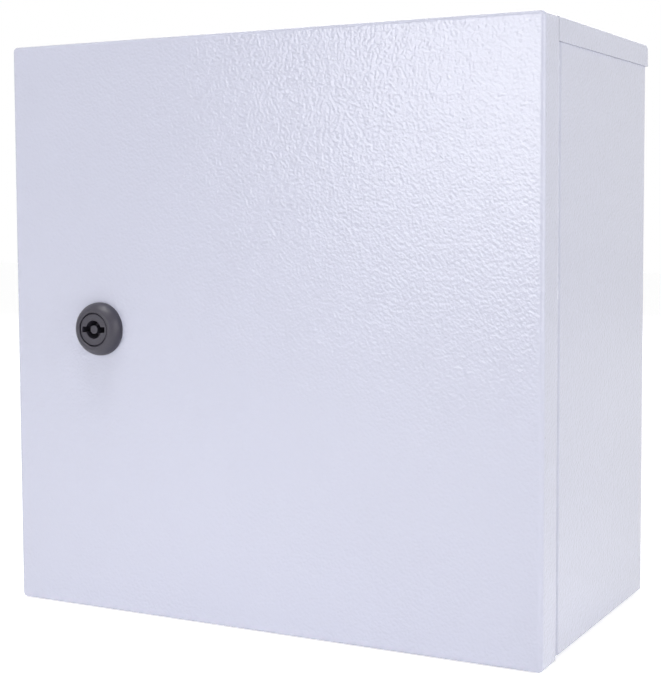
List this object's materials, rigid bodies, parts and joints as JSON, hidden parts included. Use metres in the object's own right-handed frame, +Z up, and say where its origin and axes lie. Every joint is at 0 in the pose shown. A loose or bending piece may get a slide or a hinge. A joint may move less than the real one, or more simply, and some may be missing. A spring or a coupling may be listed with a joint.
{
  "type": "wall-mounted electrical enclosure",
  "caption": "Square sheet-steel wall box for wiring devices, light grey textured coat, full-overlay hinged door with concealed hinges and a dark quarter-turn lock.",
  "frame": {"origin": "centre of the bounding box on the floor plane under the box", "axes": "+X right as seen from the front, +Y from the door to the wall, +Z up"},
  "size_m": [0.3, 0.1752, 0.3],
  "materials": {
    "powder_coat": "textured powder coat",
    "zinc_plate": "zinc plated",
    "zinc_casting": "tumbled casting",
    "galvanised_sheet": "galvanised",
    "dark_lock": "satin dark grey",
    "foam_gasket": "skinned foam",
    "flat_rubber": "matte"
  },
  "bodies": {
    "body": {"body_shell": "powder_coat", "roof_cap": "powder_coat", "floor_pan": "powder_coat", "gland_gasket": "flat_rubber", "gland_plate": "powder_coat", "gland_studs": "zinc_plate", "gland_nuts": "zinc_plate", "plate_studs": "zinc_plate", "plate_spacers": "zinc_plate", "mounting_plate": "galvanised_sheet", "plate_washers": "zinc_plate", "plate_nuts": "zinc_plate", "body_earth_stud": "zinc_plate", "body_earth_washer": "zinc_plate", "body_earth_nut": "zinc_plate", "upper_hinge_arm": "zinc_casting", "lower_hinge_arm": "zinc_casting", "hinge_arm_screws": "zinc_plate"},
    "door": {"door_panel": "powder_coat", "door_gasket": "foam_gasket", "upper_hinge_top_lug": "powder_coat", "upper_hinge_bottom_lug": "powder_coat", "lower_hinge_top_lug": "powder_coat", "lower_hinge_bottom_lug": "powder_coat", "upper_hinge_pin": "zinc_plate", "lower_hinge_pin": "zinc_plate", "door_earth_stud": "zinc_plate", "door_earth_washer": "zinc_plate", "door_earth_nut": "zinc_plate", "lock_housing": "dark_lock", "lock_seal": "flat_rubber", "lock_nut": "zinc_plate"},
    "lock_core": {"lock_plug": "dark_lock", "lock_cam": "zinc_plate", "cam_washer": "zinc_plate", "cam_screw": "zinc_plate"}
  },
  "joints": [
    {"name": "door_hinge", "type": "hinge", "parent": "body", "child": "door", "pos_m": [0.1448, -0.0724, 0.15], "axis": [0, 0, 1], "range_deg": [0, 120]},
    {"name": "lock_turn", "type": "hinge", "parent": "door", "child": "lock_core", "pos_m": [-0.094, -0.0804, 0.15], "axis": [0, 1, 0], "range_deg": [0, 90]}
  ]
}
